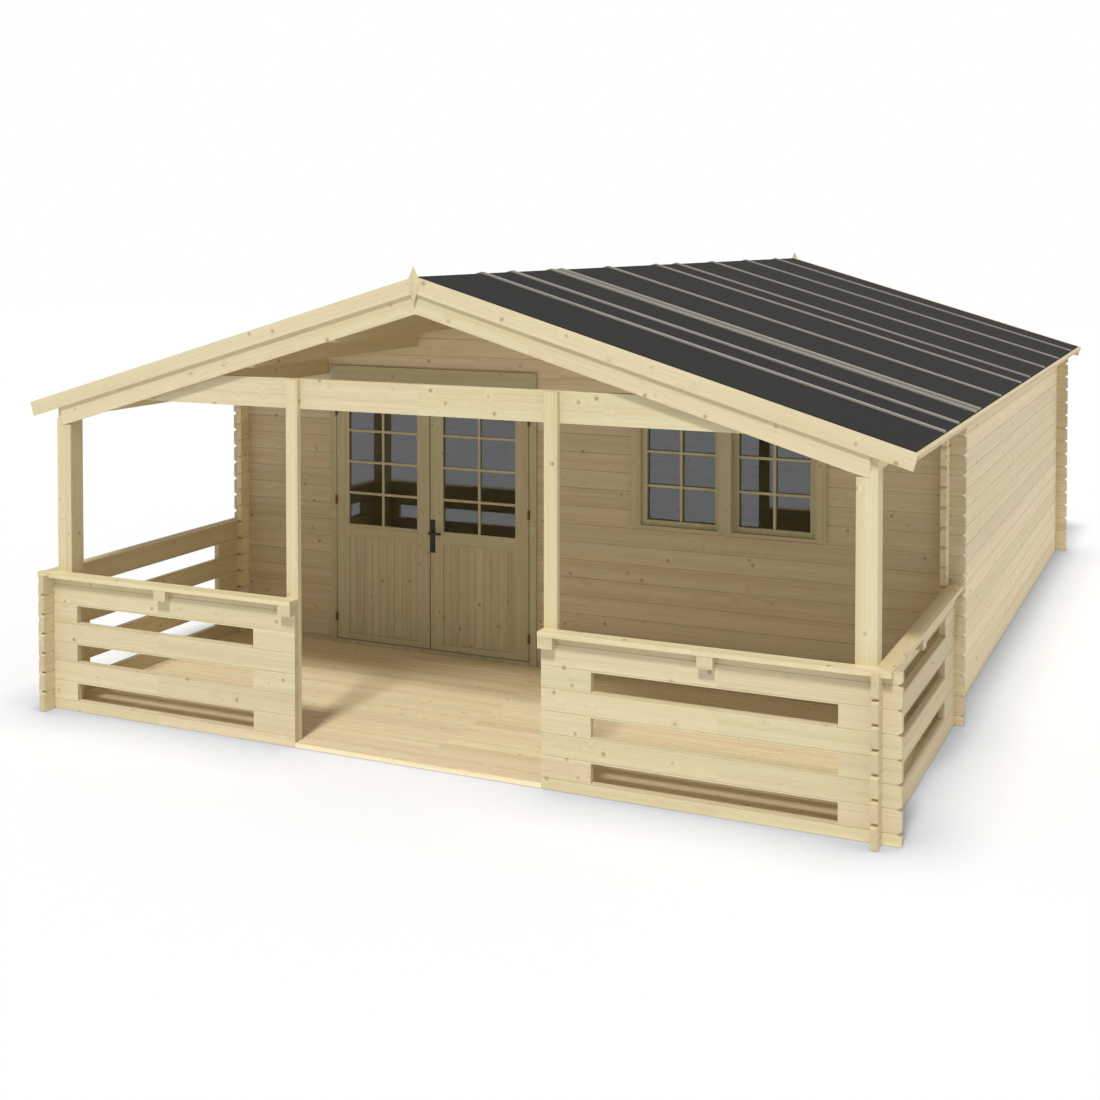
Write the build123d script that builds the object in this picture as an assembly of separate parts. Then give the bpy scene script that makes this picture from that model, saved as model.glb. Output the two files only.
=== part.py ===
from build123d import *
import os
from math import cos, radians, sin, tan

# Garden log cabin with a covered, railed porch across its front. Millimetres, Z up, ground at Z = 0.
# X runs along the front with 0 on the ridge line, Y runs from the porch towards the back wall,
# and Y = 0 is the front face of the porch railing.

os.makedirs("parts", exist_ok=True)

# Logs
log_pitch = 130.0
log_thick = 40.0
joint_depth = 4.0
joint_half = 3.5
end_reach = 102.0
end_notch = 26.0
end_notch_half = 17.0
side_log_count = 15

# Plan of the house
front_half = 2801.0
porch_depth = 2143.0
house_depth = 6112.0

# Roof
roof_slope = 16.5
plate_rise = 134.0
eave_reach = 193.0
deck_thick = 22.0
felt_thick = 6.0
felt_set_back = 45.0
felt_short = 5.0
verge_board_thick = 18.0
verge_board_height = 95.0
gable_board_drop = 222.0
gable_board_clear = 2.0
gable_board_hang = 38.0
verge_front = 18.0
rear_overhang = 123.0
eave_strip = 18.0
finial_half = 44.0
finial_thick = 14.0
finial_rise = 61.0
finial_shoulder = 19.0
finial_foot = 165.0
batten_width = 45.0
batten_thick = 10.0
batten_filler = 6.0
batten_places = [890.0, 1335.0, 1970.0, 2140.0, 3030.0, 4070.0, 4580.0, 5540.0, 6580.0, 7620.0]

# Purlins and tie beam
purlin_height = 200.0
purlin_width = 70.0
purlin_places = [610.0, 1210.0, 2000.0]
purlin_end_gap = 0.3
beam_height = 185.0
beam_thick = 44.0
beam_rise = 150.0
beam_end_gap = 20.0

# Railing
rail_log_count = 7
cap_sink = 18.0
cap_thick = 28.0
cap_overhang = 55.0
panel_inner = 841.0
slot_lip = 7.0
slot_corner_margin = 234.0
slot_end_margin = 310.0
side_slot_margin = 343.0
bracket_width = 92.0
bracket_height = 68.0
bracket_middle = 1843.0
side_bracket_y = 860.0

# Posts
post_size = 116.0
mid_post_width = 85.0
mid_post_depth = 36.0
mid_post_short = 4.0

# Floor
floor_thick = 28.0
floor_gap = 2.0

# Door
door_centre = -1062.0
leaf_width = 814.0
leaf_gap = 8.0
leaf_clear = 6.0
leaf_thick = 40.0
leaf_bottom = 66.0
leaf_top = 1998.0
stile_width = 107.0
glass_bottom = 960.0
glass_top = 1920.0
panel_top = 862.0
bottom_rail_top = 112.0
panel_thick = 18.0
sill_top = 60.0
trim_width = 53.0
trim_proud = 22.0
header_top = 2175.0
glass_thick = 6.0
hinge_radius = 6.0
hinge_length = 66.0
hinge_forward = 12.0
hinge_beside = 3.0
hinge_plate = 3.0
hinge_flap = 10.0
hinge_gap = 0.5
hinge_heights = [232.0, 1140.0, 1822.0]
door_bar = 18.0
handle_bottom = 798.0
handle_top = 1045.0
lever_height = 950.0
lever_length = 88.0

# Window
window_left = 552.0
window_right = 1958.0
window_bottom = 1121.0
window_top = 2012.0
window_trim = 77.0
window_sill = 16.0
mullion_width = 93.0
mullion_proud = 30.0
sash_rim = 38.0
sash_thick = 34.0
sash_recess = 28.0
window_bar = 18.0

# Worked out from the sizes above
slope = tan(radians(roof_slope))
upright = 1 / cos(radians(roof_slope))
wall_half = front_half - log_thick
front_y = porch_depth
back_y = porch_depth + house_depth
roof_front = verge_front + verge_board_thick
rear_verge_out = back_y + rear_overhang
roof_back = rear_verge_out - verge_board_thick
middle_y = (rear_verge_out + finial_thick - end_reach) / 2
wall_top_side = side_log_count * log_pitch
under_ridge = wall_top_side + plate_rise + slope * wall_half
ridge_top = under_ridge + (deck_thick + felt_thick) * upright
verge_half = wall_half + eave_reach
half_log = log_pitch / 2
gable_board_front = roof_front
gable_board_back = gable_board_front + verge_board_thick
rear_board_back = roof_back
rear_board_front = roof_back - verge_board_thick
gable_board_half = wall_half - log_thick - gable_board_clear
gable_board_foot = wall_top_side - gable_board_hang
beam_front = log_thick + mid_post_depth
beam_bottom = wall_top_side + beam_rise
beam_top = beam_bottom + beam_height
mid_post_top = beam_top - mid_post_short
rail_top = rail_log_count * log_pitch
cap_bottom = rail_top - cap_sink
door_face = front_y - trim_proud
hinge_y = door_face - hinge_forward
door_half = leaf_width + leaf_gap / 2
pin_offset = door_half + hinge_beside
jamb_half = door_half + leaf_clear
trim_half = jamb_half + trim_width
opening_half = jamb_half + 42.0
frame_head = leaf_top + leaf_clear
opening_top = frame_head + 42.0
split_z = half_log + side_log_count * log_pitch


def under_roof(x):
    """Height of the deck's underside at a distance x from the ridge line."""
    return under_ridge - slope * abs(x)


def block(x0, x1, y0, y1, z0, z1):
    """Box between two corners."""
    return Pos((x0 + x1) / 2, (y0 + y1) / 2, (z0 + z1) / 2) * Box(x1 - x0, y1 - y0, z1 - z0)


def prism_along_y(points, y0, y1):
    """Outline in X and Z carried from y0 to y1."""
    face = make_face(Polyline([(x, y0, z) for x, z in points], close=True))
    return extrude(face, amount=y1 - y0, dir=(0, 1, 0))


def prism_along_x(points, x0, x1):
    """Outline in Y and Z carried from x0 to x1."""
    face = make_face(Polyline([(x0, y, z) for y, z in points], close=True))
    return extrude(face, amount=x1 - x0, dir=(1, 0, 0))


def stack_outline(near, far, bottom, top, joints):
    """Cross-section of a stack of logs with a V at each joint on both faces."""
    inside = [z for z in joints if bottom + joint_half < z < top - joint_half]
    points = [(near, bottom)]
    for z in inside:
        points += [(near, z - joint_half), (near + joint_depth, z), (near, z + joint_half)]
    points += [(near, top), (far, top)]
    for z in reversed(inside):
        points += [(far, z + joint_half), (far - joint_depth, z), (far, z - joint_half)]
    return points + [(far, bottom)]


def joint_heights(first, top):
    """Heights of the joints from the first one up."""
    heights = []
    z = first
    while z < top:
        heights.append(z)
        z += log_pitch
    return heights


def side_joints(top):
    return joint_heights(log_pitch, top)


def front_joints(top):
    return joint_heights(half_log, top)


def laps(first, top, x0, x1, y0, y1):
    """What is cut from a stack where another stack crosses it: a quarter log each side of every joint."""
    quarter = log_pitch / 4
    cuts = []
    z = first - log_pitch
    while z - quarter < top:
        if z + quarter > 0:
            cuts.append(block(x0, x1, y0, y1, z - quarter, z + quarter))
        z += log_pitch
    return cuts


def end_notches_x(joints, x_end, outward, y0, y1):
    """V notches on the end of a stack that runs along X."""
    cuts = []
    for z in joints:
        tip = x_end - outward * end_notch
        far = x_end + outward
        points = [(tip, z), (far, z - end_notch_half), (far, z + end_notch_half)]
        cuts.append(prism_along_y(points, y0, y1))
    return cuts


def end_notches_y(joints, y_end, outward, x0, x1):
    """V notches on the end of a stack that runs along Y."""
    cuts = []
    for z in joints:
        tip = y_end - outward * end_notch
        far = y_end + outward
        points = [(tip, z), (far, z - end_notch_half), (far, z + end_notch_half)]
        cuts.append(prism_along_x(points, x0, x1))
    return cuts


def save(name, shape):
    """Writes one sub-part, with the middle of the house's footprint moved to the origin."""
    export_step(Pos(0, -middle_y, 0) * shape, f"parts/{name}.step")


def mirrored(shape):
    """The same piece on the other side of the ridge line."""
    return mirror(shape, about=Plane.YZ)


# Purlins under the roof, and the holes that they pass through
def purlin_block(x, y0, y1, grow=0.0):
    """A purlin at x, its top following the deck."""
    half = purlin_width / 2 + grow
    low = under_roof(x) - purlin_height
    left, right = x - half, x + half
    points = [(left, low), (right, low), (right, under_roof(right)), (left, under_roof(left))]
    if x == 0:
        points.insert(3, (0, under_roof(0)))
    return prism_along_y(points, y0, y1)


purlin_xs = [0.0] + purlin_places + [-x for x in purlin_places]
beam_lap = beam_bottom + beam_height / 2
purlin_seats = [purlin_block(x, gable_board_back - 10, rear_board_front + 10) for x in purlin_xs]


def beam_lap_cut(x):
    """Where the tie beam takes the lower half of the purlin that crosses it."""
    half = purlin_width / 2 + 1
    return block(x - half, x + half, beam_front, beam_front + beam_thick, beam_bottom - 10, beam_lap)


def purlin(x):
    body = purlin_block(x, gable_board_back, rear_board_front - purlin_end_gap)
    if under_roof(x) - purlin_height < beam_top:
        body -= beam_lap_cut(x)
    return body


# Side walls, each one stack of logs from the porch to the back with its ends running on past the corners
def side_wall():
    y0, y1 = front_y - end_reach, back_y + end_reach
    near, far = wall_half - log_thick, wall_half
    joints = side_joints(wall_top_side)
    wall = prism_along_y(stack_outline(near, far, 0, wall_top_side, joints), y0, y1)
    cuts = []
    for y in (front_y, back_y - log_thick):
        cuts += laps(log_pitch, wall_top_side, near - 1, far + 1, y, y + log_thick)
    cuts += end_notches_y(joints, y0, -1, near - 1, far + 1)
    cuts += end_notches_y(joints, y1, 1, near - 1, far + 1)
    return wall - cuts


# The top log of each side, which runs on over the porch as its eave plate
def eave_plate():
    near, far = wall_half - log_thick, wall_half
    points = [(near, wall_top_side), (far, wall_top_side), (far, under_roof(far)), (near, under_roof(near))]
    plate = prism_along_y(points, gable_board_back, rear_board_front)
    quarter = log_pitch / 4
    cuts = []
    for y in (front_y, back_y - log_thick):
        cuts.append(block(near - 1, far + 1, y, y + log_thick, wall_top_side - 1, wall_top_side + quarter))
        cuts.append(block(near - 1, far + 1, y, y + log_thick, wall_top_side + log_pitch - quarter, ridge_top))
    return plate - cuts


# Gable walls
def gable_outline(bottom):
    """Wall outline from a height up to the deck, out to the ends of its logs."""
    edge = wall_half + end_reach
    top = under_roof(edge)
    return [(-edge, bottom), (edge, bottom), (edge, top), (0, under_roof(0)), (-edge, top)]


def gable_stack(y):
    """A full gable wall with grooved joints, laps, end notches and purlin seats."""
    edge = wall_half + end_reach
    top = under_roof(0)
    joints = front_joints(top)
    stack = prism_along_x(stack_outline(y, y + log_thick, 0, top, joints), -edge, edge)
    wall = stack & prism_along_y(gable_outline(0), y - 1, y + log_thick + 1)
    cuts = []
    for near in (wall_half - log_thick, -wall_half):
        cuts += laps(half_log, under_roof(near), near, near + log_thick, y - 1, y + log_thick + 1)
    low_joints = front_joints(under_roof(edge))
    cuts += end_notches_x(low_joints, edge, 1, y - 1, y + log_thick + 1)
    cuts += end_notches_x(low_joints, -edge, -1, y - 1, y + log_thick + 1)
    return wall - cuts - purlin_seats


door_hole = block(door_centre - opening_half, door_centre + opening_half, front_y - 1, front_y + log_thick + 1,
                  -1, opening_top)
window_hole = block(window_left + window_trim / 2, window_right - window_trim / 2, front_y - 1,
                    front_y + log_thick + 1, window_bottom + window_sill / 2, window_top - window_trim / 2)

front_wall = gable_stack(front_y) - door_hole - window_hole
reach = 4000.0
low_left = block(-reach, door_centre, front_y - 1, front_y + log_thick + 1, -1, split_z)
low_right = block(door_centre, reach, front_y - 1, front_y + log_thick + 1, -1, split_z)
above = block(-reach, reach, front_y - 1, front_y + log_thick + 1, split_z, ridge_top)
save("front_wall_left", front_wall & low_left)
save("front_wall_right", front_wall & low_right)
save("front_gable", front_wall & above)
save("back_wall", gable_stack(back_y - log_thick))

right_wall = side_wall()
save("right_wall", right_wall)
save("left_wall", mirrored(right_wall))
right_plate = eave_plate()
save("right_eave_plate", right_plate)
save("left_eave_plate", mirrored(right_plate))


# Porch railing: logs with three long slots cut in every second log
def slot_rows(first):
    return [first + i * 2 * log_pitch for i in range(3)]


def front_railing():
    """The panel on the right of the entrance."""
    x0, x1 = panel_inner, front_half + end_reach
    joints = front_joints(rail_top)
    panel = prism_along_x(stack_outline(0, log_thick, 0, rail_top, joints), x0, x1)
    cuts = laps(half_log, rail_top, front_half - log_thick, front_half, -1, log_thick + 1)
    cuts += end_notches_x(joints, x1, 1, -1, log_thick + 1)
    for z in slot_rows(half_log):
        cuts.append(block(panel_inner + slot_end_margin, front_half - slot_corner_margin, -1, log_thick + 1,
                          z + slot_lip, z + log_pitch - slot_lip))
    cuts.append(block(x0 - 1, front_half + cap_overhang, -1, log_thick + 1, cap_bottom, rail_top + 1))
    panel -= cuts
    for x in (panel_inner + bracket_width / 2, bracket_middle):
        panel += block(x - bracket_width / 2, x + bracket_width / 2, -cap_overhang + 3, 0,
                       cap_bottom - bracket_height, cap_bottom)
    return panel


def side_railing():
    """The panel on the right side, which butts against the log ends of the cabin's front wall."""
    near, far = front_half - log_thick, front_half
    y0, y1 = -end_reach, front_y
    joints = side_joints(rail_top)
    panel = prism_along_y(stack_outline(near, far, 0, rail_top, joints), y0, y1)
    cuts = laps(log_pitch, rail_top, near - 1, far + 1, 0, log_thick)
    cuts += end_notches_y(joints, y0, -1, near - 1, far + 1)
    for z in slot_rows(log_pitch):
        cuts.append(block(near - 1, far + 1, side_slot_margin, front_y - side_slot_margin,
                          z + slot_lip, z + log_pitch - slot_lip))
    cuts.append(block(near - 1, far + 1, -cap_overhang, front_y + 1, cap_bottom, rail_top + 1))
    panel -= cuts
    panel += block(far, far + cap_overhang - 3, side_bracket_y - bracket_width / 2,
                   side_bracket_y + bracket_width / 2, cap_bottom - bracket_height, cap_bottom)
    return panel


def front_cap():
    """Flat board let into the top of the front panel, mitred where it meets the side one."""
    out = front_half + cap_overhang
    points = [(panel_inner, -cap_overhang), (out, -cap_overhang), (front_half - log_thick, log_thick),
              (panel_inner, log_thick)]
    face = make_face(Polyline([(x, y, cap_bottom) for x, y in points], close=True))
    return extrude(face, amount=cap_thick, dir=(0, 0, 1))


def side_cap():
    out = front_half + cap_overhang
    points = [(out, -cap_overhang), (out, front_y), (front_half - log_thick, front_y),
              (front_half - log_thick, log_thick)]
    face = make_face(Polyline([(x, y, cap_bottom) for x, y in points], close=True))
    return extrude(face, amount=cap_thick, dir=(0, 0, 1))


for name, shape in (("front_railing", front_railing()), ("side_railing", side_railing()),
                    ("front_cap", front_cap()), ("side_cap", side_cap())):
    save("right_" + name, shape)
    save("left_" + name, mirrored(shape))


# Posts and tie beam
def corner_post():
    """Square post in the corner of the railing, stepped at its top for the plate and the beam."""
    x0, x1 = wall_half - post_size, wall_half
    y0, y1 = log_thick, log_thick + post_size
    post = block(x0, x1, y0, y1, 0, beam_bottom)
    post -= block(wall_half - log_thick, x1 + 1, y0 - 1, y1 + 1, wall_top_side, ridge_top)
    post -= prism_along_y([(x0 - 1, under_roof(x0 - 1)), (x1 + 1, under_roof(x1 + 1)), (x1 + 1, ridge_top),
                           (x0 - 1, ridge_top)], y0 - 1, y1 + 1)
    post -= block(x0 - 1, gable_board_half, y0 - 1, gable_board_back, gable_board_foot, ridge_top)
    return post


def middle_post():
    """Flat upright that stiffens the end of a front panel and carries the tie beam."""
    return block(panel_inner, panel_inner + mid_post_width, log_thick, log_thick + mid_post_depth, 0, mid_post_top)


def tie_beam():
    """Beam across the porch front, its top following the roof near its ends."""
    half = wall_half - log_thick - beam_end_gap
    turn = (under_ridge - beam_top) / slope
    points = [(-half, beam_bottom), (half, beam_bottom), (half, under_roof(half)), (turn, beam_top),
              (-turn, beam_top), (-half, under_roof(half))]
    beam = prism_along_y(points, beam_front, beam_front + beam_thick)
    for x in purlin_xs:
        if under_roof(x) - purlin_height < beam_top:
            half_width = purlin_width / 2
            beam -= block(x - half_width, x + half_width, beam_front - 1, beam_front + beam_thick + 1,
                          beam_lap, ridge_top)
    return beam


right_post = corner_post()
save("right_corner_post", right_post)
save("left_corner_post", mirrored(right_post))
inner_post = middle_post()
save("right_middle_post", inner_post)
save("left_middle_post", mirrored(inner_post))
save("tie_beam", tie_beam())
save("ridge_purlin", purlin(0.0))
right_purlins = [purlin(x) for x in purlin_places]
save("right_purlins", Compound(children=right_purlins))
save("left_purlins", Compound(children=[mirrored(p) for p in right_purlins]))


# Roof
def slope_strip(y0, y1, low, high, x0, x1):
    """A layer on the right slope between two heights above the deck's underside, measured square to it."""
    def z(x, off):
        return under_ridge - slope * x + off * upright
    points = [(x0, z(x0, low)), (x1, z(x1, low)), (x1, z(x1, high)), (x0, z(x0, high))]
    return prism_along_y(points, y0, y1)


def square_end(shape, x_top, z_top, y0, y1):
    """Cuts a sloping board square to its length through its upper corner at (x_top, z_top)."""
    dx, dz = sin(radians(roof_slope)), cos(radians(roof_slope))
    size = 600.0
    a = (x_top + dx * 50, z_top + dz * 50)
    b = (x_top - dx * size, z_top - dz * size)
    along = (dz * size, -dx * size)
    points = [a, b, (b[0] + along[0], b[1] + along[1]), (a[0] + along[0], a[1] + along[1])]
    return shape - prism_along_y(points, y0 - 1, y1 + 1)


def roof_deck():
    return slope_strip(roof_front, roof_back, 0, deck_thick, 0, verge_half)


def roof_felt():
    """Felt on one slope, its edges set back from the verge boards and from the eave."""
    return slope_strip(roof_front + felt_set_back, roof_back - felt_set_back, deck_thick, deck_thick + felt_thick,
                       0, verge_half - felt_short)


def eave_board():
    """Thin strip that closes the lower edge of a slope."""
    return slope_strip(roof_front, roof_back, 0, deck_thick, verge_half, verge_half + eave_strip)


def verge_board(y0, y1):
    """Upper gable board, with its end cut square."""
    layers = deck_thick + felt_thick
    board = slope_strip(y0, y1, layers - verge_board_height, layers, 0, verge_half + 40)
    end_x = verge_half + eave_strip
    end_z = ridge_top - slope * end_x
    return square_end(board, end_x, end_z, y0, y1)


def gable_board(y0, y1):
    """Lower gable board under the deck, cut upright over the corner post."""
    low = ridge_top - gable_board_drop
    points = [(0, low), (0, under_roof(0)), (gable_board_half, under_roof(gable_board_half)),
              (gable_board_half, gable_board_foot), ((low - gable_board_foot) / slope, gable_board_foot)]
    return prism_along_y(points, y0, y1)


def finial(y):
    """Pointed board over the joint of the two verge boards at the peak."""
    tip, shoulder, foot = ridge_top + finial_rise, ridge_top - finial_shoulder, ridge_top - finial_foot
    waist = finial_half - 12
    points = [(0, tip), (finial_half, shoulder), (waist, shoulder - 24), (0, foot), (-waist, shoulder - 24),
              (-finial_half, shoulder)]
    return prism_along_y(points, y, y + finial_thick)


deck = roof_deck()
save("right_roof_deck", deck)
save("left_roof_deck", mirrored(deck))
felt = roof_felt()
save("right_roof_felt", felt)
save("left_roof_felt", mirrored(felt))
edge = eave_board()
save("right_eave_board", edge)
save("left_eave_board", mirrored(edge))
for place, upper, lower, peak in (
        ("front", (verge_front, roof_front), (gable_board_front, gable_board_back), verge_front - finial_thick),
        ("back", (roof_back, rear_verge_out), (rear_board_front, rear_board_back), rear_verge_out)):
    save(place + "_finial", finial(peak))
    board = verge_board(*upper)
    save("right_" + place + "_verge_board", board)
    save("left_" + place + "_verge_board", mirrored(board))
    board = gable_board(*lower)
    save("right_" + place + "_gable_board", board)
    save("left_" + place + "_gable_board", mirrored(board))

# Battens over the felt, from ridge to eave, with a thin board between one pair
base = deck_thick + felt_thick
batten_end = verge_half - felt_short
battens = [slope_strip(y, y + batten_width, base, base + batten_thick, 0, batten_end) for y in batten_places]
pair_first, pair_second = batten_places[2], batten_places[3]
filler = slope_strip(pair_first + batten_width, pair_second, base, base + batten_filler, 0, batten_end)
battens[2] = battens[2] + filler + battens.pop(3)
save("right_battens", Compound(children=battens))
save("left_battens", Compound(children=[mirrored(b) for b in battens]))

# Floors
porch_floor = block(-wall_half, wall_half, 0, front_y, 0, floor_thick)
for side in (-1, 1):
    inner = side * panel_inner
    outer = side * reach
    porch_floor -= block(min(inner, outer), max(inner, outer), -1, log_thick, -1, floor_thick + 1)
    mid = side * (panel_inner + mid_post_width)
    porch_floor -= block(min(inner, mid), max(inner, mid), 0, log_thick + mid_post_depth, -1, floor_thick + 1)
    corner = side * (wall_half - post_size)
    porch_floor -= block(min(corner, outer), max(corner, outer), 0, log_thick + post_size, -1, floor_thick + 1)
porch_floor -= block(-reach, -wall_half + log_thick, front_y - end_reach, front_y + 1, -1, floor_thick + 1)
porch_floor -= block(wall_half - log_thick, reach, front_y - end_reach, front_y + 1, -1, floor_thick + 1)
save("porch_floor", porch_floor)
inside = wall_half - log_thick
save("cabin_floor", block(-inside, inside, front_y + log_thick, back_y - log_thick, 0, floor_thick))


# Door frame
def door_frame():
    y0, y1 = front_y - trim_proud, front_y + log_thick
    c = door_centre
    frame = block(c - opening_half, c + opening_half, front_y, y1, 0, opening_top)
    frame += block(c - trim_half, c + trim_half, y0, front_y, floor_thick, header_top)
    frame -= block(c - jamb_half, c + jamb_half, y0 - 1, y1 + 1, sill_top, frame_head)
    return frame


def door_leaf(x0, x1):
    """A leaf with two upright stiles, three rails and a boarded lower panel; the glass is a piece of its own."""
    y0 = front_y - trim_proud
    y1 = y0 + leaf_thick
    leaf = block(x0, x1, y0, y1, leaf_bottom, leaf_top)
    a, b = x0 + stile_width, x1 - stile_width
    leaf -= block(a, b, y0 - 1, y1 + 1, glass_bottom, glass_top)
    leaf -= block(a, b, y0 - 1, y0 + (leaf_thick - panel_thick) / 2, bottom_rail_top, panel_top)
    leaf -= block(a, b, y1 - (leaf_thick - panel_thick) / 2, y1 + 1, bottom_rail_top, panel_top)
    middle = (a + b) / 2
    leaf += block(middle - door_bar / 2, middle + door_bar / 2, y0 + 6, y1 - 6, glass_bottom, glass_top)
    for i in range(1, 4):
        z = glass_bottom + (glass_top - glass_bottom) * i / 4
        leaf += block(a, b, y0 + 6, y1 - 6, z - door_bar / 2, z + door_bar / 2)
    pane_y = y0 + leaf_thick / 2
    leaf -= block(a, b, pane_y - glass_thick / 2, pane_y + glass_thick / 2, glass_bottom, glass_top)
    return leaf


def door_glass(x0, x1):
    pane_y = front_y - trim_proud + leaf_thick / 2
    a, b = x0 + stile_width, x1 - stile_width
    return block(a, b, pane_y - glass_thick / 2, pane_y + glass_thick / 2, glass_bottom, glass_top)


save("door_frame", door_frame())
left_span = (door_centre - door_half, door_centre - leaf_gap / 2)
right_span = (door_centre + leaf_gap / 2, door_centre + door_half)
save("left_door_leaf", door_leaf(*left_span))
save("right_door_leaf", door_leaf(*right_span))
save("left_door_glass", door_glass(*left_span))
save("right_door_glass", door_glass(*right_span))


# Window: trim round the opening with a thin sill, a middle post, two sashes with bars, and their glass
def window_frame():
    y0, y1 = front_y - trim_proud, front_y + log_thick
    frame = block(window_left, window_right, y0, front_y, window_bottom, window_top)
    inset = window_trim / 2
    frame += block(window_left + inset, window_right - inset, front_y, y1, window_bottom + window_sill / 2,
                   window_top - inset)
    centre = (window_left + window_right) / 2
    for x0, x1 in ((window_left + window_trim, centre - mullion_width / 2),
                   (centre + mullion_width / 2, window_right - window_trim)):
        frame -= block(x0, x1, y0 - 1, y1 + 1, window_bottom + window_sill, window_top - window_trim)
    frame += block(centre - mullion_width / 2, centre + mullion_width / 2, y0 - mullion_proud, y0 + 1,
                   window_bottom + window_sill, window_top - window_trim)
    return frame


def sash_parts(x0, x1):
    z0, z1 = window_bottom + window_sill, window_top - window_trim
    y0 = front_y - trim_proud + sash_recess
    y1 = y0 + sash_thick
    sash = block(x0, x1, y0, y1, z0, z1)
    a, b, low, high = x0 + sash_rim, x1 - sash_rim, z0 + sash_rim, z1 - sash_rim
    sash -= block(a, b, y0 - 1, y1 + 1, low, high)
    middle = (a + b) / 2
    sash += block(middle - window_bar / 2, middle + window_bar / 2, y0 + 6, y1 - 6, low, high)
    for i in range(1, 3):
        z = low + (high - low) * i / 3
        sash += block(a, b, y0 + 6, y1 - 6, z - window_bar / 2, z + window_bar / 2)
    pane_y = (y0 + y1) / 2
    pane = block(a, b, pane_y - glass_thick / 2, pane_y + glass_thick / 2, low, high)
    return sash - pane, pane


save("window_frame", window_frame())
middle_x = (window_left + window_right) / 2
sash_left, pane_left = sash_parts(window_left + window_trim, middle_x - mullion_width / 2)
sash_right, pane_right = sash_parts(middle_x + mullion_width / 2, window_right - window_trim)
save("left_window_sash", sash_left)
save("right_window_sash", sash_right)
save("window_glass", Compound(children=[pane_left, pane_right]))


# Hinges: two knuckles on the frame's plate and a third between them on the leaf's plate
def hinge_plate_at(pin, toward, z):
    """A flap that lies on the leaf or the frame beside the pin."""
    near, far = pin + toward * hinge_beside, pin + toward * hinge_flap
    half = hinge_length / 2
    return block(min(near, far), max(near, far), door_face - hinge_plate, door_face, z - half, z + half)


def knuckle(pin, toward, low, high):
    """A round knuckle and the web that joins it to its flap."""
    near, far = pin + toward * hinge_beside, pin + toward * (hinge_beside + hinge_plate)
    web = block(min(near, far), max(near, far), hinge_y, door_face, low, high)
    return web + Pos(pin, hinge_y, (low + high) / 2) * Cylinder(hinge_radius, high - low)


def leaf_hinge(side, z):
    """The leaf's half of one hinge."""
    pin = door_centre + side * pin_offset
    half = hinge_length / 6 - hinge_gap
    return knuckle(pin, -side, z - half, z + half) + hinge_plate_at(pin, -side, z)


def frame_hinge(side, z):
    """The frame's half of one hinge."""
    pin = door_centre + side * pin_offset
    half = hinge_length / 2
    third = hinge_length / 6
    piece = hinge_plate_at(pin, side, z) + knuckle(pin, side, z - half, z - third)
    return piece + knuckle(pin, side, z + third, z + half)


def door_handle():
    """Long plate, neck and lever on both faces of the right leaf."""
    x = door_centre + leaf_gap / 2 + 21.0
    pieces = []
    for face, out in ((door_face, -1), (door_face + leaf_thick, 1)):
        plate = sorted((face, face + out * 7.0))
        lever = sorted((face + out * 42.0, face + out * 56.0))
        piece = block(x - 18, x + 18, plate[0], plate[1], handle_bottom, handle_top)
        piece += Pos(x, face + out * 28, lever_height) * Rot(90, 0, 0) * Cylinder(9, 42)
        piece += block(x - 12, x + lever_length, lever[0], lever[1], lever_height - 9, lever_height + 9)
        pieces.append(piece)
    return Compound(children=pieces)


for name, side in (("left", -1), ("right", 1)):
    save(name + "_door_hinges", Compound(children=[leaf_hinge(side, z) for z in hinge_heights]))
frame_hinges = [frame_hinge(side, z) for side in (-1, 1) for z in hinge_heights]
save("frame_hinges", Compound(children=frame_hinges))
save("door_handle", door_handle())
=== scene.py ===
import math

import bpy
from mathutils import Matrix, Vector


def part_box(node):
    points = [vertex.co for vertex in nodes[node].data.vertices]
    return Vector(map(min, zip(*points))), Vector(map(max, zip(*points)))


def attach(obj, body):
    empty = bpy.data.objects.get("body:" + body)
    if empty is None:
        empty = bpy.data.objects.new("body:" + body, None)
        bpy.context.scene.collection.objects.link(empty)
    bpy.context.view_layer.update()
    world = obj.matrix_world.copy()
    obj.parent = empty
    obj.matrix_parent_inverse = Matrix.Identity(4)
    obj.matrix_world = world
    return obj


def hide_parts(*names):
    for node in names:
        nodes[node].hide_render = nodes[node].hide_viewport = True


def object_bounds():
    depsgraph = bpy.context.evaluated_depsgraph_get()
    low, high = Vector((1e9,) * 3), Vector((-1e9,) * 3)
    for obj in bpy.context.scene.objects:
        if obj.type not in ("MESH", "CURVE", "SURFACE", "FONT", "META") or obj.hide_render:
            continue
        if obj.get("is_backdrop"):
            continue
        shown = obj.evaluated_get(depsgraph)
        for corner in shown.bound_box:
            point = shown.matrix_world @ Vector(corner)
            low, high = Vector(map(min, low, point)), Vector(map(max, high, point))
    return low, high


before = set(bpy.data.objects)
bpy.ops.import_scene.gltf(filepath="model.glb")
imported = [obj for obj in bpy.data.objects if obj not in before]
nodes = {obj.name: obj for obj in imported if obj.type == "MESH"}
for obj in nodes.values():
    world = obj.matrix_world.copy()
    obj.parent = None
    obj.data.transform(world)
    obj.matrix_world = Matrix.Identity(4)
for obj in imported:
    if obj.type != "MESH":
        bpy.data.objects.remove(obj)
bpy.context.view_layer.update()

print("frame loaded:", len(nodes), "nodes")


def toLinear(hexText):
    parts = [int(hexText[i:i + 2], 16) / 255 for i in (1, 3, 5)]
    return tuple(p / 12.92 if p <= 0.04045 else ((p + 0.055) / 1.055) ** 2.4 for p in parts) + (1.0,)


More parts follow.
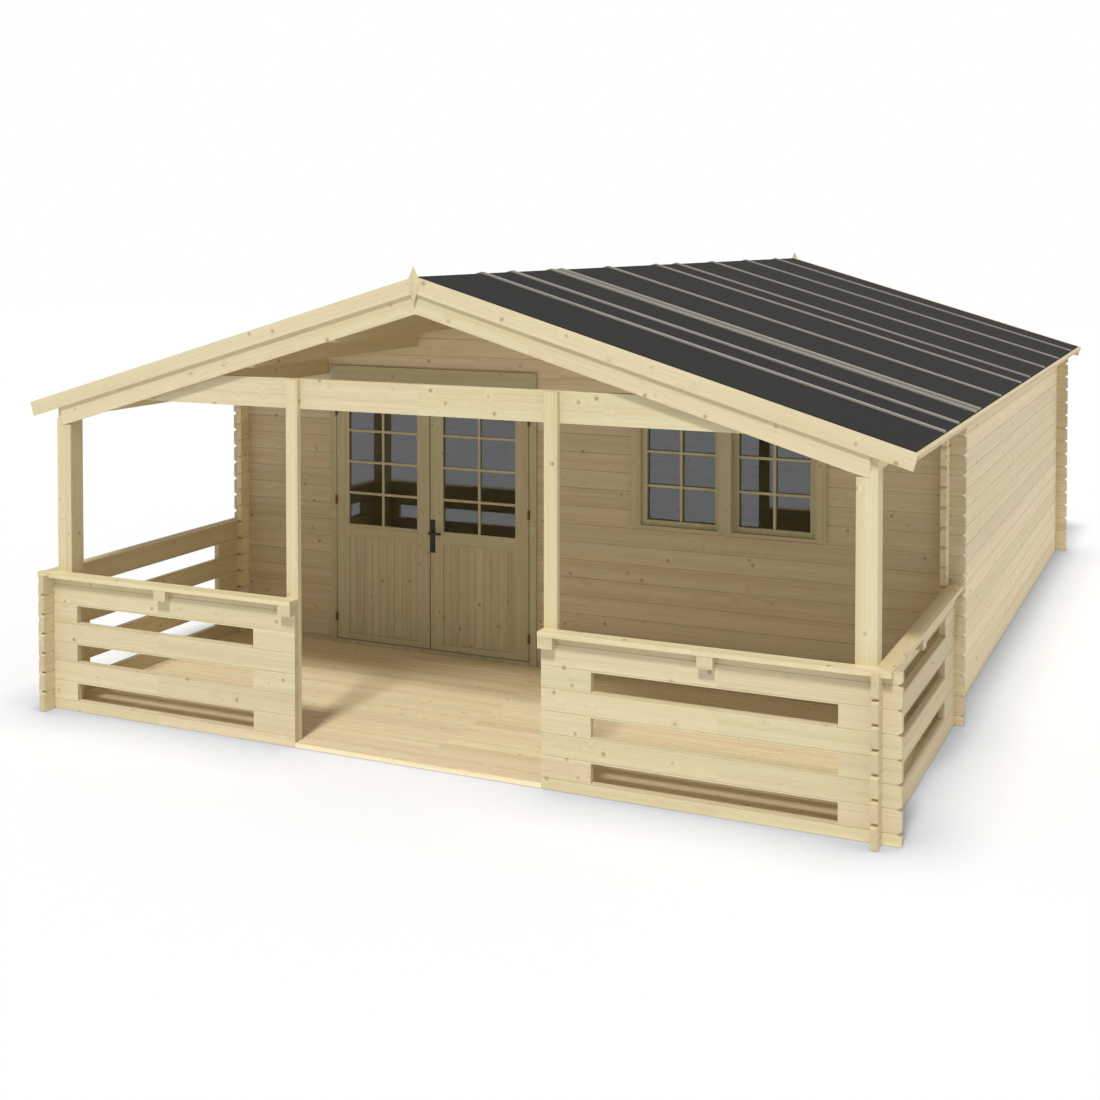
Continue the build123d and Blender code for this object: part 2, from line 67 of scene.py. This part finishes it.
def addNode(tree, kind, inputs=None, **settings):
    node = tree.nodes.new(kind)
    for name, value in settings.items():
        setattr(node, name, value)
    for name, value in (inputs or {}).items():
        if isinstance(value, bpy.types.NodeSocket):
            tree.links.new(value, node.inputs[name])
        else:
            node.inputs[name].default_value = value
    return node


def newMaterial(name):
    material = bpy.data.materials.new(name)
    material.use_nodes = True
    material.node_tree.nodes.clear()
    return material, material.node_tree


def dress(material, *names):
    for name in names:
        mesh = nodes[name].data
        mesh.materials.clear()
        mesh.materials.append(material)


def slab(name, low, high):
    # a plain box between two corners
    bpy.ops.object.select_all(action="DESELECT")
    bpy.ops.mesh.primitive_cube_add(size=1.0)
    piece = bpy.context.object
    piece.name = name
    piece.scale = [b - a for a, b in zip(low, high)]
    piece.location = [(a + b) / 2 for a, b in zip(low, high)]
    bpy.ops.object.transform_apply(location=True, rotation=True, scale=True)
    return piece


def boardRow(name, low, high, axis, sizes):
    # equal boards side by side with eased edges, filling the box between two corners
    count = max(1, round((high[axis] - low[axis]) * 1000 / sizes["width"]))
    step = (high[axis] - low[axis]) / count
    first = list(high)
    first[axis] = low[axis] + step - sizes["gap"] / 1000
    piece = slab(name, low, first)
    row = piece.modifiers.new("row", "ARRAY")
    row.use_relative_offset = False
    row.use_constant_offset = True
    row.constant_offset_displace = [step if i == axis else 0.0 for i in range(3)]
    row.count = count
    eased = piece.modifiers.new("eased edges", "BEVEL")
    eased.width = sizes["ease"] / 1000
    eased.segments = 2
    bpy.ops.object.modifier_apply(modifier="row")
    bpy.ops.object.modifier_apply(modifier="eased edges")
    return piece


def joined(name, pieces):
    bpy.ops.object.select_all(action="DESELECT")
    for piece in pieces:
        piece.select_set(True)
    bpy.context.view_layer.objects.active = pieces[0]
    bpy.ops.object.join()
    pieces[0].name = name
    return pieces[0]


# lengths that patterns and pieces share, in metres
house = {
    "logPitch": 0.130,
    "roofSlope": math.radians(16.5),
    "roofBoard": 0.096,
    "floorBoard": 0.096,
}

pine = {
    "grain": 7.0,            # mm between the darker lines of a board
    "fade": 650.0,           # mm that a line runs before it fades
    "knotEvery": 135.0,      # mm from one knot to the next through solid wood
    "knotRadius": 20.0,      # mm
    "knotColour": "#96754F",
    "knotCore": 0.2,         # share of the radius that is fully dark
    "haloReach": 3.2,        # how many radii away the lines start to bend round a knot
    "haloBend": 2.2,
    "spread": 0.05,          # how much lighter or darker one log is than another
    "hues": (0.492, 0.506),  # from a little redder to a little greener, 0.5 is unchanged
    "endTone": 0.9,          # sawn ends against the long faces
    "grooveReach": 26.0,     # mm that a notch or groove looks round itself for wood
    "grooveShadeTone": 0.3,       # painted shade: tone at the bottom of the deepest notch
    "seam": 4.0,             # mm that the shade of a seam between boards fades over
    "seamTone": 0.5,
    "roughness": 0.65,
}


def alongAxis(run):
    # 1 along the named axis and 0 along the others
    return [1.0 if axis == run else 0.0 for axis in "XYZ"]


def turnedRails(tree, coord, rails, between):
    # the grain turns to run along the rails, which are bands of height between two uprights
    part = addNode(tree, "ShaderNodeSeparateXYZ", {"Vector": coord})
    band = 0.0
    for low, high in rails:
        inBand = addNode(tree, "ShaderNodeMath", {0: part.outputs["Z"], 1: (low + high) / 2,
                                                  2: (high - low) / 2}, operation="COMPARE")
        band = addNode(tree, "ShaderNodeMath", {0: inBand.outputs[0], 1: band},
                       operation="MAXIMUM").outputs[0]
    inside = addNode(tree, "ShaderNodeMath", {0: part.outputs["X"], 1: between[0], 2: between[1]},
                     operation="COMPARE")
    isRail = addNode(tree, "ShaderNodeMath", {0: band, 1: inside.outputs[0]}, operation="MULTIPLY")
    turned = addNode(tree, "ShaderNodeMapping", {"Vector": coord, "Rotation": (0.0, math.pi / 2, 0.0)})
    return addNode(tree, "ShaderNodeMix", {0: isRail.outputs[0], 4: coord, 5: turned.outputs[0]},
                   data_type="VECTOR").outputs[1]


def pineMaterial(name, light, dark, run, rows, starts=(0.0, 0.0, 0.0), knots=0.7, onSlope=False,
                 grooves=False, seams=False, rails=(), between=(0.0, 9.0), filler=None):
    # planed, untreated softwood: cream boards with faint honey lines, soft brown knots and a satin surface
    material, tree = newMaterial(name)
    coord = addNode(tree, "ShaderNodeTexCoord").outputs["Object"]
    place = coord
    if onSlope:
        folded = addNode(tree, "ShaderNodeVectorMath", {0: coord}, operation="ABSOLUTE")
        place = addNode(tree, "ShaderNodeMapping", {"Vector": folded.outputs[0],
                                                    "Rotation": (0.0, -house["roofSlope"], 0.0)}).outputs[0]
    if rails:
        place = turnedRails(tree, coord, rails, between)
    # one log or board has one chance value
    perRow = [1 / size if size else 0.0 for size in rows]
    fromStart = [-start * share for start, share in zip(starts, perRow)]
    count = addNode(tree, "ShaderNodeVectorMath", {0: place, 1: perRow, 2: fromStart},
                    operation="MULTIPLY_ADD")
    index = addNode(tree, "ShaderNodeVectorMath", {0: count.outputs[0]}, operation="FLOOR")
    chance = addNode(tree, "ShaderNodeTexWhiteNoise", {"Vector": index.outputs[0]}, noise_dimensions="3D")
    shift = addNode(tree, "ShaderNodeVectorMath", {0: chance.outputs["Color"], "Scale": 40.0},
                    operation="SCALE")
    # knots are round wherever a ball of dark wood meets the surface
    knot = addNode(tree, "ShaderNodeTexVoronoi", {"Vector": coord, "Scale": 1000 / pine["knotEvery"],
                                                  "Randomness": 1.0})
    size = pine["knotRadius"] / pine["knotEvery"]
    core = addNode(tree, "ShaderNodeMapRange", {"Value": knot.outputs["Distance"], "From Min": size,
                                                "From Max": size * pine["knotCore"], "To Max": knots},
                   interpolation_type="SMOOTHSTEP")
    halo = addNode(tree, "ShaderNodeMapRange", {"Value": knot.outputs["Distance"],
                                                "From Min": size * pine["haloReach"], "From Max": 0.0,
                                                "To Max": pine["haloBend"]},
                   interpolation_type="SMOOTHSTEP")
    bend = addNode(tree, "ShaderNodeVectorMath", {0: shift.outputs[0], 1: halo.outputs[0]},
                   operation="ADD")
    stretch = [1000 / (pine["fade"] if along else pine["grain"]) for along in alongAxis(run)]
    lines = addNode(tree, "ShaderNodeVectorMath", {0: place, 1: stretch, 2: bend.outputs[0]},
                    operation="MULTIPLY_ADD")
    fine = addNode(tree, "ShaderNodeTexNoise", {"Vector": lines.outputs[0], "Scale": 1.0, "Detail": 3.0})
    broad = addNode(tree, "ShaderNodeTexNoise", {"Vector": lines.outputs[0], "Scale": 0.16, "Detail": 2.0})
    grain = addNode(tree, "ShaderNodeMix", {0: 0.5, 2: fine.outputs["Fac"], 3: broad.outputs["Fac"]})
    depth = addNode(tree, "ShaderNodeMapRange", {"Value": grain.outputs[0], "From Min": 0.38,
                                                 "From Max": 0.66})
    base = addNode(tree, "ShaderNodeMix", {0: depth.outputs[0], 6: toLinear(light), 7: toLinear(dark)},
                   data_type="RGBA")
    knotted = addNode(tree, "ShaderNodeMix", {0: core.outputs[0], 6: base.outputs[2],
                                              7: toLinear(pine["knotColour"])}, data_type="RGBA")
    # logs differ a little in tone and warmth, and their sawn ends are darker
    tone = addNode(tree, "ShaderNodeMapRange", {"Value": chance.outputs["Value"],
                                                "To Min": 1.0 - pine["spread"],
                                                "To Max": 1.0 + pine["spread"]})
    warmth = addNode(tree, "ShaderNodeSeparateColor", {"Color": chance.outputs["Color"]})
    hue = addNode(tree, "ShaderNodeMapRange", {"Value": warmth.outputs[1], "To Min": pine["hues"][0],
                                               "To Max": pine["hues"][1]})
    normal = addNode(tree, "ShaderNodeNewGeometry").outputs["Normal"]
    facing = addNode(tree, "ShaderNodeVectorMath", {0: normal, 1: alongAxis(run)}, operation="DOT_PRODUCT")
    sawn = addNode(tree, "ShaderNodeMath", {0: facing.outputs["Value"]}, operation="ABSOLUTE")
    ends = addNode(tree, "ShaderNodeMapRange", {"Value": sawn.outputs[0], "From Min": 0.9, "From Max": 0.97,
                                                "To Min": 1.0, "To Max": pine["endTone"]})
    value = addNode(tree, "ShaderNodeMath", {0: tone.outputs[0], 1: ends.outputs[0]}, operation="MULTIPLY")
    if grooves:
        # painted shade: notches and grooves between logs are darkened where ambient occlusion finds wood
        # close by
        inner = addNode(tree, "ShaderNodeAmbientOcclusion", {"Distance": pine["grooveReach"] / 1000},
                        samples=8)
        shade = addNode(tree, "ShaderNodeMapRange", {"Value": inner.outputs["AO"], "From Min": 0.05,
                                                     "From Max": 0.5, "To Min": pine["grooveShadeTone"]})
        value = addNode(tree, "ShaderNodeMath", {0: value.outputs[0], 1: shade.outputs[0]},
                        operation="MULTIPLY")
    if filler:
        # the thin board between a pair of battens is darker
        part = addNode(tree, "ShaderNodeSeparateXYZ", {"Vector": coord})
        middle, reach = (filler["front"] + filler["back"]) / 2, (filler["back"] - filler["front"]) / 2
        within = addNode(tree, "ShaderNodeMath", {0: part.outputs["Y"], 1: middle, 2: reach},
                         operation="COMPARE")
        darker = addNode(tree, "ShaderNodeMapRange", {"Value": within.outputs[0], "To Min": 1.0,
                                                      "To Max": filler["tone"]})
        value = addNode(tree, "ShaderNodeMath", {0: value.outputs[0], 1: darker.outputs[0]},
                        operation="MULTIPLY")
    if seams:
        # seams between boards are shaded
        axis = next(i for i in (2, 1, 0) if rows[i])
        part = addNode(tree, "ShaderNodeSeparateXYZ", {"Vector": count.outputs[0]})
        near = addNode(tree, "ShaderNodeMath", {0: part.outputs[axis], 1: 0.5}, operation="PINGPONG")
        shade = addNode(tree, "ShaderNodeMapRange", {"Value": near.outputs[0], "To Min": pine["seamTone"],
                                                     "From Max": pine["seam"] / 1000 / rows[axis]})
        value = addNode(tree, "ShaderNodeMath", {0: value.outputs[0], 1: shade.outputs[0]},
                        operation="MULTIPLY")
    toned = addNode(tree, "ShaderNodeHueSaturation", {"Color": knotted.outputs[2], "Hue": hue.outputs[0],
                                                      "Value": value.outputs[0]})
    bump = addNode(tree, "ShaderNodeBump", {"Height": fine.outputs["Fac"], "Strength": 0.3,
                                            "Distance": 0.0005})
    shader = addNode(tree, "ShaderNodeBsdfPrincipled", {"Base Color": toned.outputs[0],
                                                        "Roughness": pine["roughness"], "IOR": 1.35,
                                                        "Normal": bump.outputs[0]})
    addNode(tree, "ShaderNodeOutputMaterial", {"Surface": shader.outputs[0]})
    return material


pitch = house["logPitch"]
halfLog = (0.0, 0.0, pitch / 2)  # rows of the gable walls start half a log above those of the sides

# frames and doors: colours, width of a door's uprights, and heights of its rails, in metres
joinery = {"light": "#C9C19E", "dark": "#B9AC83", "stile": 0.107,
           "rails": ((0.0, 0.112), (0.862, 0.960), (1.920, 2.1)),
           "frameRails": ((2.004, 3.0), (1.0, 1.137))}

# place along the house and tone of the board between the pair of battens
fillerBoard = {"front": -2.127, "back": -2.008, "tone": 0.42}

# painted light and shade: the log walls are one pine in several tones; the side walls and the front gable
# above the tie beam are made lighter as painted light, the porch side railings and the walls standing in the
# porch darker as painted shade
litSideLogs = pineMaterial("planed pine logs, side walls", "#EFE0B9", "#E1CFA3", "Y", (5.0, 0.0, pitch),
                        grooves=True)
shadedRailSides = pineMaterial("planed pine logs, porch sides", "#D8C8A2", "#CAB88F", "Y", (5.0, 0.0, pitch),
                         grooves=True)
shadedGableLogs = pineMaterial("planed pine logs, gable walls", "#D6C8A6", "#C5B38B", "X", (0.0, 2.5, pitch),
                         starts=halfLog, grooves=True)
litGableLogs = pineMaterial("planed pine logs, front gable", "#EFE0BD", "#DCC89E", "X", (0.0, 2.5, pitch),
                         starts=halfLog, grooves=True)
railLogs = pineMaterial("planed pine logs, porch front", "#DBCEA8", "#CCBD94", "X", (1.9, 0.0, pitch),
                        starts=halfLog, grooves=True)
longPine = pineMaterial("planed pine along the house", "#DDCDA4", "#CFBC8E", "Y", (0.5, 0.0, 0.0))
crossPine = pineMaterial("planed pine across the house", "#E2D6AE", "#D4C496", "X", (4.0, 0.3, 0.7))
uprightPine = pineMaterial("planed pine uprights", "#DFD3AA", "#D1C192", "Z", (0.45, 0.0, 0.0))
framePine = pineMaterial("planed pine frames", joinery["light"], joinery["dark"], "Z", (0.6, 0.0, 0.0),
                         knots=0.5, rails=joinery["frameRails"])
slopePine = pineMaterial("planed pine verge boards", "#E1D4AD", "#D3C295", "X", (4.0, 0.019, 0.0),
                         onSlope=True)
battenPine = pineMaterial("weathered pine battens", "#A39D90", "#8E887B", "X", (4.0, 0.0, 0.0),
                          onSlope=True, filler=fillerBoard)
deckPine = pineMaterial("pine roof boards", "#DFCDA6", "#CDB78C", "X", (0.0, house["roofBoard"], 0.0),
                        seams=True, onSlope=True)
floorPine = pineMaterial("pine floor boards", "#F6E9C4", "#E4D2A4", "X", (0.0, house["floorBoard"], 0.0),
                         seams=True)

dress(litSideLogs, "left_wall", "right_wall", "left_eave_plate", "right_eave_plate")
dress(shadedRailSides, "left_side_railing", "right_side_railing")
dress(shadedGableLogs, "front_wall_left", "front_wall_right", "back_wall")
dress(litGableLogs, "front_gable")
dress(railLogs, "left_front_railing", "right_front_railing")
dress(longPine, "left_side_cap", "right_side_cap", "ridge_purlin", "left_purlins", "right_purlins",
      "left_eave_board", "right_eave_board")
dress(crossPine, "left_front_cap", "right_front_cap", "tie_beam")
dress(uprightPine, "left_corner_post", "right_corner_post", "left_middle_post", "right_middle_post",
      "front_finial", "back_finial")
dress(framePine, "door_frame", "window_frame", "left_window_sash", "right_window_sash")
for side in ("left", "right"):
    low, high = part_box(side + "_door_leaf")
    centre, reach = (low[0] + high[0]) / 2, (high[0] - low[0]) / 2 - joinery["stile"]
    dress(pineMaterial("planed pine door, " + side, joinery["light"], joinery["dark"], "Z", (0.3, 0.0, 0.0),
                       starts=(centre, 0.0, 0.0), knots=0.5, rails=joinery["rails"], between=(centre, reach)),
          side + "_door_leaf")
for side in ("left", "right"):
    for end in ("front", "back"):
        dress(slopePine, side + "_" + end + "_verge_board", side + "_" + end + "_gable_board")
dress(battenPine, "left_battens", "right_battens")
dress(deckPine, "left_roof_deck", "right_roof_deck")
dress(floorPine, "porch_floor", "cabin_floor")
print("wood dressed")


felt = {
    "colour": "#282725",
    "chip": "#353431",
    "grit": 4.0,    # mm, coarser than the real slate chips
    "clouds": 1.7,  # lighter patches along a metre
    "unevenness": 0.1,
}

glassLook = {
    "colour": "#D8DADC",
    "ior": 1.72,
    "waves": 1.2,      # along a metre
    "waveDepth": 2.0,  # mm
}


def feltMaterial():
    # mineral roofing felt: matt dark grey with a fine speckle of slate grit and faint unevenness
    material, tree = newMaterial("mineral roofing felt")
    coord = addNode(tree, "ShaderNodeTexCoord").outputs["Object"]
    grit = addNode(tree, "ShaderNodeTexNoise", {"Vector": coord, "Scale": 1000 / felt["grit"], "Detail": 2.0})
    cloud = addNode(tree, "ShaderNodeTexNoise", {"Vector": coord, "Scale": felt["clouds"],
                                                 "Detail": 3.0})
    mixed = addNode(tree, "ShaderNodeMix", {0: grit.outputs["Fac"], 6: toLinear(felt["colour"]),
                                            7: toLinear(felt["chip"])}, data_type="RGBA")
    patch = addNode(tree, "ShaderNodeMapRange", {"Value": cloud.outputs["Fac"],
                                                 "To Min": 1.0 - felt["unevenness"],
                                                 "To Max": 1.0 + felt["unevenness"]})
    toned = addNode(tree, "ShaderNodeHueSaturation", {"Color": mixed.outputs[2], "Value": patch.outputs[0]})
    bump = addNode(tree, "ShaderNodeBump", {"Height": grit.outputs["Fac"], "Strength": 0.4,
                                            "Distance": 0.001})
    shader = addNode(tree, "ShaderNodeBsdfPrincipled", {"Base Color": toned.outputs[0],
                                                        "Roughness": 0.95, "IOR": 1.2,
                                                        "Normal": bump.outputs[0]})
    addNode(tree, "ShaderNodeOutputMaterial", {"Surface": shader.outputs[0]})
    return material


def glassMaterial():
    # clear float glass: smooth, faintly grey and a little wavy, seen mostly by what it reflects
    material, tree = newMaterial("clear window glass")
    coord = addNode(tree, "ShaderNodeTexCoord").outputs["Object"]
    wave = addNode(tree, "ShaderNodeTexNoise", {"Vector": coord, "Scale": glassLook["waves"]})
    bump = addNode(tree, "ShaderNodeBump", {"Height": wave.outputs["Fac"], "Strength": 0.02,
                                            "Distance": glassLook["waveDepth"] / 1000})
    shader = addNode(tree, "ShaderNodeBsdfPrincipled", {"Base Color": toLinear(glassLook["colour"]),
                                                        "Roughness": 0.01, "IOR": glassLook["ior"],
                                                        "Transmission Weight": 1.0,
                                                        "Normal": bump.outputs[0]})
    addNode(tree, "ShaderNodeOutputMaterial", {"Surface": shader.outputs[0]})
    return material


def metalMaterial(name, colour, roughness, metallic):
    # coated or dulled steel: one colour with faint handling marks in tone and sheen
    material, tree = newMaterial(name)
    coord = addNode(tree, "ShaderNodeTexCoord").outputs["Object"]
    speckle = addNode(tree, "ShaderNodeTexNoise", {"Vector": coord, "Scale": 90.0, "Detail": 3.0})
    marks = speckle.outputs["Fac"]
    sheen = addNode(tree, "ShaderNodeMapRange", {"Value": marks, "To Min": roughness - 0.08,
                                                 "To Max": roughness + 0.1})
    tint = addNode(tree, "ShaderNodeMapRange", {"Value": marks, "To Min": 0.85, "To Max": 1.15})
    toned = addNode(tree, "ShaderNodeHueSaturation", {"Color": toLinear(colour), "Value": tint.outputs[0]})
    shader = addNode(tree, "ShaderNodeBsdfPrincipled", {"Base Color": toned.outputs[0],
                                                        "Metallic": metallic,
                                                        "Roughness": sheen.outputs[0]})
    addNode(tree, "ShaderNodeOutputMaterial", {"Surface": shader.outputs[0]})
    return material


glass = glassMaterial()
dress(feltMaterial(), "left_roof_felt", "right_roof_felt")
dress(glass, "left_door_glass", "right_door_glass", "window_glass")
dress(metalMaterial("black powder-coated steel", "#1C1D20", 0.45, 0.0), "door_handle")
dress(metalMaterial("bronzed steel", "#7A6038", 0.5, 0.4), "left_door_hinges", "right_door_hinges",
      "frame_hinges")
print("felt, glass and metal dressed")


# porch floor boards run across the porch and lie on the floor, in mm
floorBoards = {"width": 96.0, "gap": 4.0, "ease": 1.2, "thick": 2.5, "postClear": 2.0, "wallClear": 40.0,
               "doorClear": 1.0}

floorLow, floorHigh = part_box("porch_floor")
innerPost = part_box("right_middle_post")[0][0] - floorBoards["postClear"] / 1000
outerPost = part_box("right_corner_post")[0][0] - floorBoards["postClear"] / 1000
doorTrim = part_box("door_frame")[0][1] - floorBoards["doorClear"] / 1000
top = floorHigh[2]
boardTop = top + floorBoards["thick"] / 1000
wide = floorHigh[0] - floorBoards["wallClear"] / 1000
rowStep = house["floorBoard"]
firstEnd = floorLow[1] + rowStep
secondEnd = firstEnd + rowStep
lastEnd = secondEnd + rowStep * math.floor((doorTrim - secondEnd) / rowStep)
rest = boardRow("porch_floor_boards", (-wide, secondEnd, top), (wide, lastEnd, boardTop), 1, floorBoards)
second = boardRow("second_board", (-outerPost, firstEnd, top), (outerPost, secondEnd, boardTop), 1,
                  floorBoards)
first = boardRow("first_board", (-innerPost, floorLow[1], top), (innerPost, firstEnd, boardTop), 1,
                 floorBoards)
porchBoards = joined("porch_floor_boards", [rest, second, first])
porchPine = pineMaterial("pine porch boards", "#EFDFB9", "#DDC79A", "X", (0.0, rowStep, 0.0),
                         starts=(0.0, floorLow[1], 0.0), knots=0.45)
porchBoards.data.materials.append(porchPine)
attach(porchBoards, "cabin")
print("porch floor boards laid")


# tongue-and-groove boards in the doors' lower panels, on both faces, in mm
panelBoards = {"width": 67.0, "gap": 2.5, "ease": 1.0, "thick": 3.0, "low": 46.0, "high": 796.0,
               "recess": 11.0}

for side in ("left", "right"):
    leafLow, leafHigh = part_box(side + "_door_leaf")
    x0, x1 = leafLow[0] + joinery["stile"], leafHigh[0] - joinery["stile"]
    z0, z1 = leafLow[2] + panelBoards["low"] / 1000, leafLow[2] + panelBoards["high"] / 1000
    front = leafLow[1] + panelBoards["recess"] / 1000
    back = leafHigh[1] - panelBoards["recess"] / 1000
    thick = panelBoards["thick"] / 1000
    outer = boardRow("outer_boards", (x0, front - thick, z0), (x1, front, z1), 0, panelBoards)
    inner = boardRow("inner_boards", (x0, back, z0), (x1, back + thick, z1), 0, panelBoards)
    boards = joined(side + "_door_panel_boards", [outer, inner])
    step = (x1 - x0) / round((x1 - x0) * 1000 / panelBoards["width"])
    boardPine = pineMaterial("pine door boards, " + side, joinery["light"], joinery["dark"], "Z",
                             (step, 0.0, 0.0), starts=(x0, 0.0, 0.0))
    boards.data.materials.append(boardPine)
    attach(boards, side + "_door")
print("door boards laid")


# window panes set behind their bars, with the bars' middles filled in, in mm
windowGlass = {"rim": 38.0, "bar": 18.0, "back": 6.0, "thick": 4.0, "rows": 3}

panes = []
cores = []
coreLow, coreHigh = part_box("window_glass")
for side in ("left", "right"):
    sashLow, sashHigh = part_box(side + "_window_sash")
    rim, bar = windowGlass["rim"] / 1000, windowGlass["bar"] / 1000
    x0, x1, z0, z1 = sashLow[0] + rim, sashHigh[0] - rim, sashLow[2] + rim, sashHigh[2] - rim
    y0 = sashHigh[1] - windowGlass["back"] / 1000
    panes.append(slab("pane", (x0, y0, z0), (x1, y0 + windowGlass["thick"] / 1000, z1)))
    middle = (x0 + x1) / 2
    cores.append(slab("upright_core", (middle - bar / 2, coreLow[1], z0),
                      (middle + bar / 2, coreHigh[1], z1)))
    for i in range(1, windowGlass["rows"]):
        z = z0 + (z1 - z0) * i / windowGlass["rows"]
        cores.append(slab("cross_core", (x0, coreLow[1], z - bar / 2), (x1, coreHigh[1], z + bar / 2)))
windowPanes = joined("window_panes", panes)
windowPanes.data.materials.append(glass)
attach(windowPanes, "cabin")
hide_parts("window_glass")
barCores = joined("window_bar_cores", cores)
barCores.data.materials.append(framePine)
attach(barCores, "cabin")
print("window panes set")


# pointed ornaments at the peaks: low pyramids, widest above their middle, on a flat back, in mm
ornament = {"shoulder": 21.0, "back": 4.0}

for end, outward in (("front", -1), ("back", 1)):
    low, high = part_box(end + "_finial")
    middle = (low[2] + high[2]) / 2
    inner = high[1] if outward < 0 else low[1]
    back = ornament["back"] / 1000
    rise = high[1] - low[1] - back
    bpy.ops.object.select_all(action="DESELECT")
    bpy.ops.mesh.primitive_cone_add(vertices=4, radius1=1.0, radius2=0.0, depth=1.0)
    piece = bpy.context.object
    piece.name = end + "_ornament"
    piece.rotation_euler = (math.radians(90.0 if outward < 0 else -90.0), 0.0, 0.0)
    piece.scale = ((high[0] - low[0]) / 2, (high[2] - low[2]) / 2, rise)
    bpy.ops.object.transform_apply(location=False, rotation=True, scale=True)
    piece.location = (0.0, inner + outward * (back + rise / 2), middle)
    bpy.ops.object.transform_apply(location=True, rotation=False, scale=False)
    mesh = piece.data
    for vertex in mesh.vertices:
        vertex.select = abs(vertex.co.z - middle) < 0.01
    for edge in mesh.edges:
        edge.select = False
    for face in mesh.polygons:
        face.select = False
    bpy.ops.object.mode_set(mode="EDIT")
    bpy.ops.mesh.select_mode(type="VERT")
    bpy.ops.transform.translate(value=(0.0, 0.0, ornament["shoulder"] / 1000))
    bpy.ops.mesh.select_mode(type="FACE")
    bpy.ops.mesh.select_all(action="DESELECT")
    bpy.ops.object.mode_set(mode="OBJECT")
    for face in mesh.polygons:
        face.select = face.normal.y * outward < -0.9
    bpy.ops.object.mode_set(mode="EDIT")
    bpy.ops.mesh.extrude_region_move(TRANSFORM_OT_translate={"value": (0.0, -outward * back, 0.0)})
    bpy.ops.mesh.select_all(action="SELECT")
    bpy.ops.mesh.normals_make_consistent(inside=False)
    bpy.ops.object.mode_set(mode="OBJECT")
    piece.data.materials.append(uprightPine)
    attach(piece, "cabin")
    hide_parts(end + "_finial")
print("peak ornaments made")


studio = {
    "groundSize": 90.0,
    "groundTone": 0.95,          # what the pale floor sends back to the cabin
    "shadeReach": 0.6,           # metres from a wall that the painted shade on the floor fades over
    "shadeColour": (0.56, 0.60, 0.67),
    "sky": (0.40, 0.412, 0.44),  # colour and strength of the even studio light
    "sunFrom": (0.12, -1.0, 1.48),
    "sunStrength": 2.2,
    "sunAngle": 9.0,             # degrees, for shadows with soft edges
    "fillFrom": (1.0, -0.15, 0.35),
    "fillStrength": 0.20,
    "fillAngle": 50.0,
}

bpy.ops.object.select_all(action="DESELECT")
bpy.ops.mesh.primitive_plane_add(size=studio["groundSize"], location=(0, 0, -0.002))
ground = bpy.context.object
ground.name = "studio_floor"
material, tree = newMaterial("pale studio floor")
path = addNode(tree, "ShaderNodeLightPath")
seen = addNode(tree, "ShaderNodeMath", {0: path.outputs["Is Camera Ray"], 1: path.outputs["Is Glossy Ray"]},
               operation="MAXIMUM")
# painted shade: camera and glossy rays see the floor turn a cool grey where ambient occlusion finds the cabin
# close by
contact = addNode(tree, "ShaderNodeAmbientOcclusion", {"Distance": studio["shadeReach"]}, samples=8)
clear = addNode(tree, "ShaderNodeMapRange", {"Value": contact.outputs["AO"], "From Min": 0.5})
shade = addNode(tree, "ShaderNodeMix", {0: clear.outputs[0], 6: studio["shadeColour"] + (1.0,),
                                        7: (1.0, 1.0, 1.0, 1.0)}, data_type="RGBA")
tone = addNode(tree, "ShaderNodeMix", {0: seen.outputs[0], 6: (studio["groundTone"],) * 3 + (1.0,),
                                       7: shade.outputs[2]}, data_type="RGBA")
shader = addNode(tree, "ShaderNodeBsdfDiffuse", {"Color": tone.outputs[2]})
addNode(tree, "ShaderNodeOutputMaterial", {"Surface": shader.outputs[0]})
ground.data.materials.append(material)
ground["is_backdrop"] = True

world = bpy.data.worlds.new("studio")
bpy.context.scene.world = world
world.use_nodes = True
tree = world.node_tree
tree.nodes.clear()
path = addNode(tree, "ShaderNodeLightPath")
seen = addNode(tree, "ShaderNodeMath", {0: path.outputs["Is Camera Ray"], 1: path.outputs["Is Glossy Ray"]},
               operation="MAXIMUM")
seen = addNode(tree, "ShaderNodeMath", {0: seen.outputs[0], 1: path.outputs["Is Transmission Ray"]},
               operation="MAXIMUM")
tone = addNode(tree, "ShaderNodeMix", {0: seen.outputs[0], 6: studio["sky"] + (1.0,),
                                       7: (1.0, 1.0, 1.0, 1.0)}, data_type="RGBA")
background = addNode(tree, "ShaderNodeBackground", {"Color": tone.outputs[2], "Strength": 1.0})
addNode(tree, "ShaderNodeOutputWorld", {"Surface": background.outputs[0]})

for name in ("sun", "fill"):
    lamp = bpy.data.lights.new(name, "SUN")
    lamp.energy = studio[name + "Strength"]
    lamp.angle = math.radians(studio[name + "Angle"])
    light = bpy.data.objects.new(name, lamp)
    light.rotation_euler = Vector(studio[name + "From"]).to_track_quat("Z", "Y").to_euler()
    bpy.context.scene.collection.objects.link(light)

view = {
    "place": (4.5032, -12.0265, 3.1751),
    "turn": 0.429,       # radians to the left of straight at the porch
    "tilt": 0.029,       # radians below level
    "lens": 49.983,
    "shift": -0.2455,
}
cameraData = bpy.data.cameras.new("camera")
cameraData.sensor_width = 36.0
cameraData.lens = view["lens"]
cameraData.shift_y = view["shift"]
cameraData.clip_end = 500.0
camera = bpy.data.objects.new("camera", cameraData)
camera.location = view["place"]
camera.rotation_euler = (math.pi / 2 - view["tilt"], 0.0, view["turn"])
bpy.context.scene.collection.objects.link(camera)
bpy.context.scene.camera = camera
bpy.context.scene.view_settings.view_transform = "Standard"
print("floor, light and camera set")

low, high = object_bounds()
